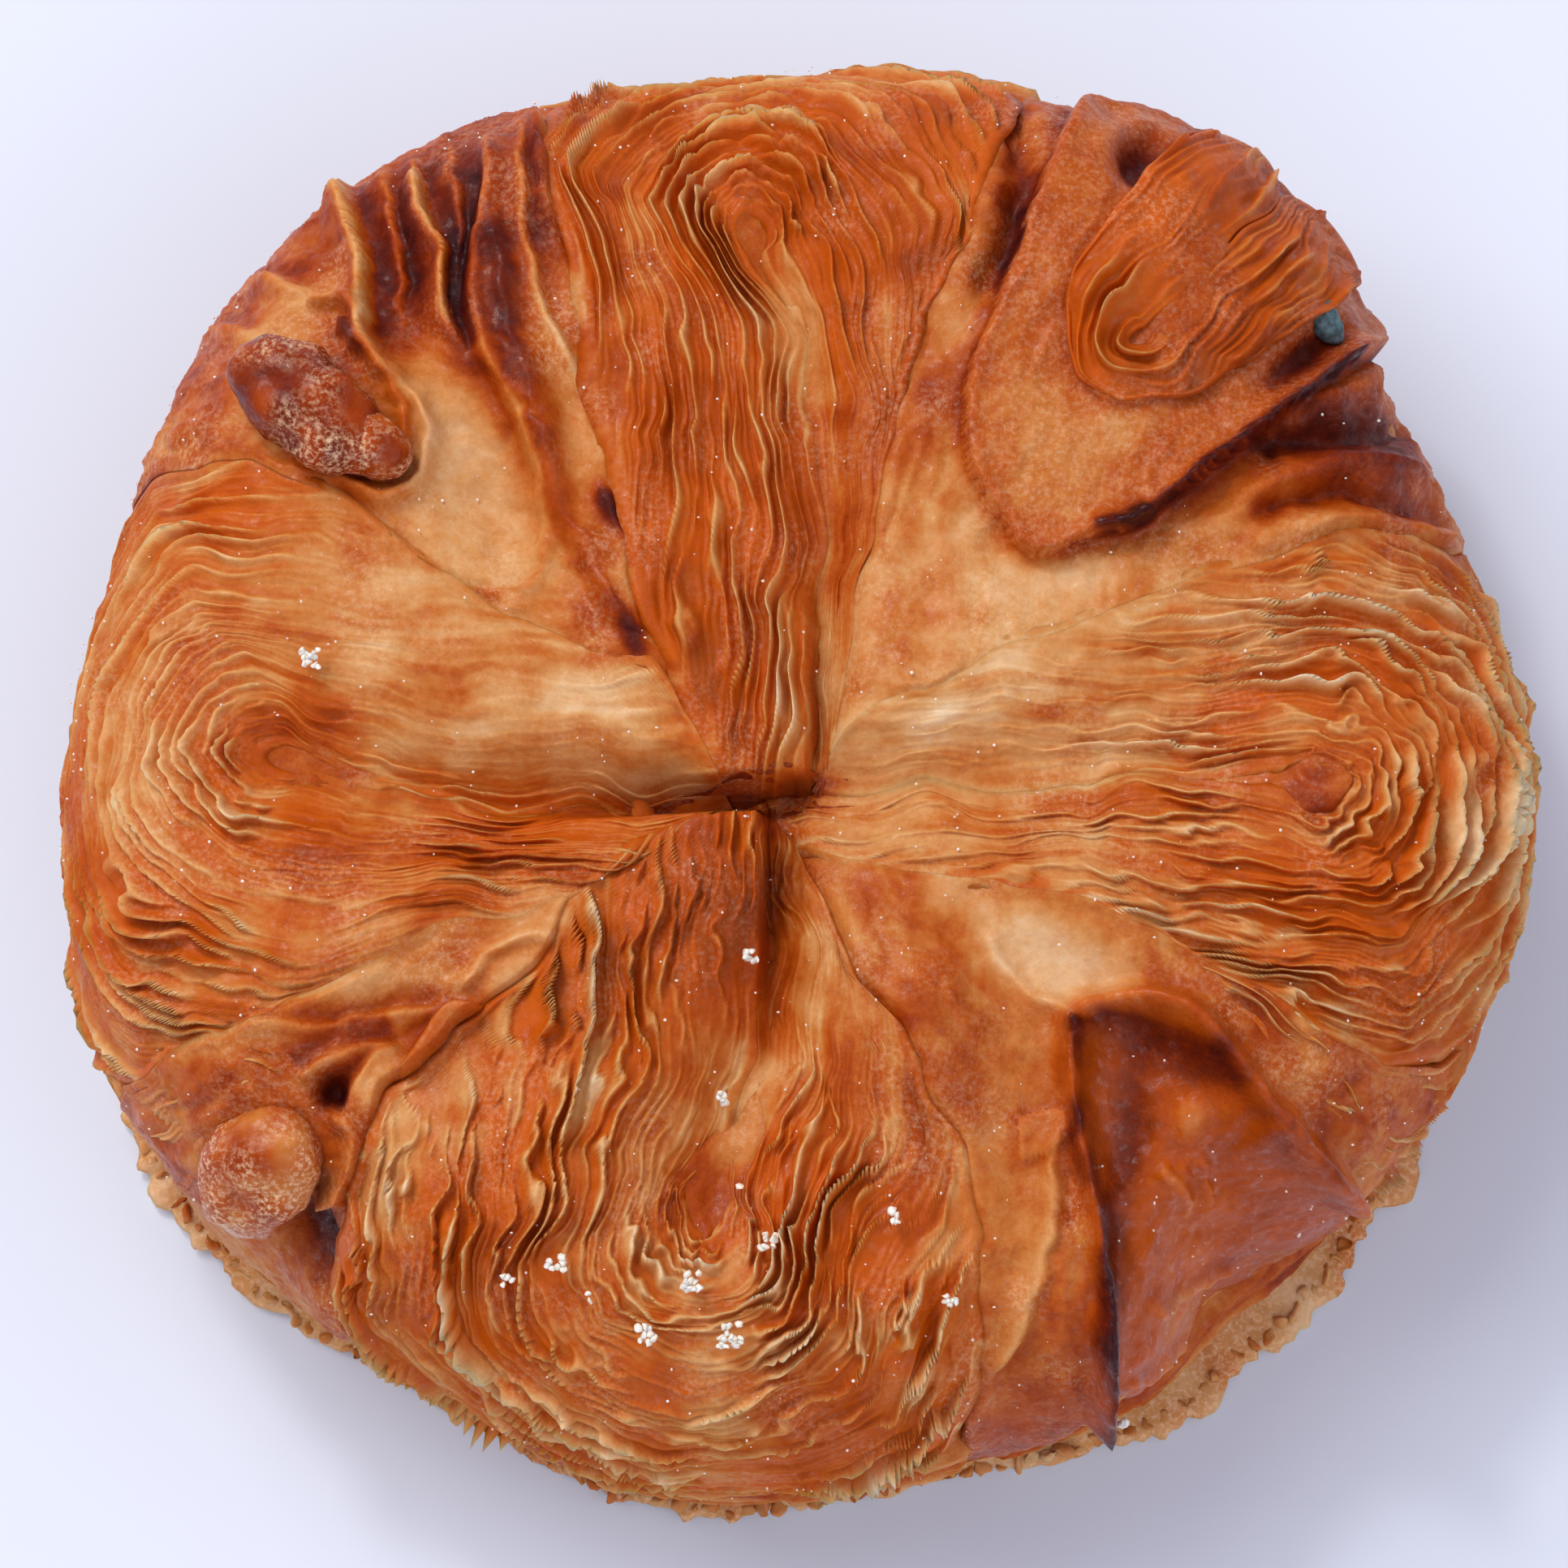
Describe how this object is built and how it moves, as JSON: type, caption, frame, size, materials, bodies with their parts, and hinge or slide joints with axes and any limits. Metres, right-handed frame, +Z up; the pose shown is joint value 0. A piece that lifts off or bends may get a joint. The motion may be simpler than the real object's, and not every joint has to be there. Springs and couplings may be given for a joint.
{
  "type": "kouign-amann",
  "caption": "Round folded pastry of laminated dough with browned, caramelised layers, curled tips on the diagonals and a little coarse sugar",
  "frame": {"origin": "centre of the flat underside", "axes": "+Z up through the crown, +Y towards the lobe at the top of the picture, +X towards the lobe at its right"},
  "size_m": [0.1009, 0.0995, 0.0369],
  "materials": {
    "browned_crust": "golden brown baked dough, satin, glossy where sugar has caramelised"
  },
  "bodies": {
    "root": {"pastry": "browned_crust"}
  },
  "joints": []
}
